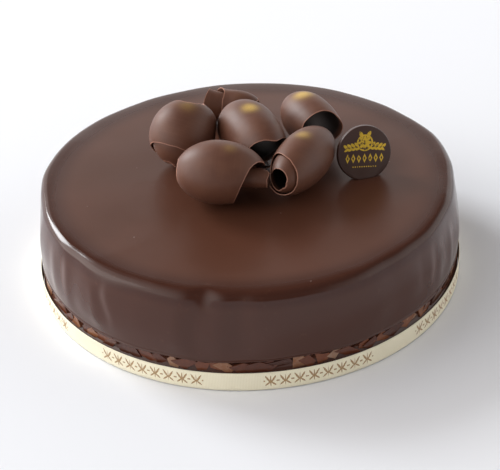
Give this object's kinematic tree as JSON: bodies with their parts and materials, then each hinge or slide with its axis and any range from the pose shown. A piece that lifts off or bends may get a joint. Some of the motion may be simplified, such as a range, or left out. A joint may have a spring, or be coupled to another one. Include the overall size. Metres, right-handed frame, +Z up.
{
  "type": "chocolate cake",
  "caption": "Round glazed chocolate cake with a ribbon round its foot, rolled chocolate curls and a chocolate disc on top, shown whole and without a plate.",
  "frame": {"origin": "the middle of the cake's flat underside, on the cake's axis", "axes": "+Z up out of the cake's top, -Y the side that faces the viewer, where the disc shows its face"},
  "size_m": [0.2205, 0.2212, 0.0854],
  "materials": {
    "glaze": "dark chocolate glaze, glossy",
    "ribbon": "ivory woven ribbon with a fine rib",
    "chocolate": "milk chocolate, satin",
    "dark_chocolate": "dark chocolate, satin, with a gold print"
  },
  "bodies": {
    "root": {"cake": "glaze", "ribbon": "ribbon", "curl_left": "chocolate", "curl_front": "chocolate", "curl_middle": "chocolate", "curl_back_right": "chocolate", "curl_right": "chocolate", "curl_back": "chocolate", "disc": "dark_chocolate"}
  },
  "joints": []
}
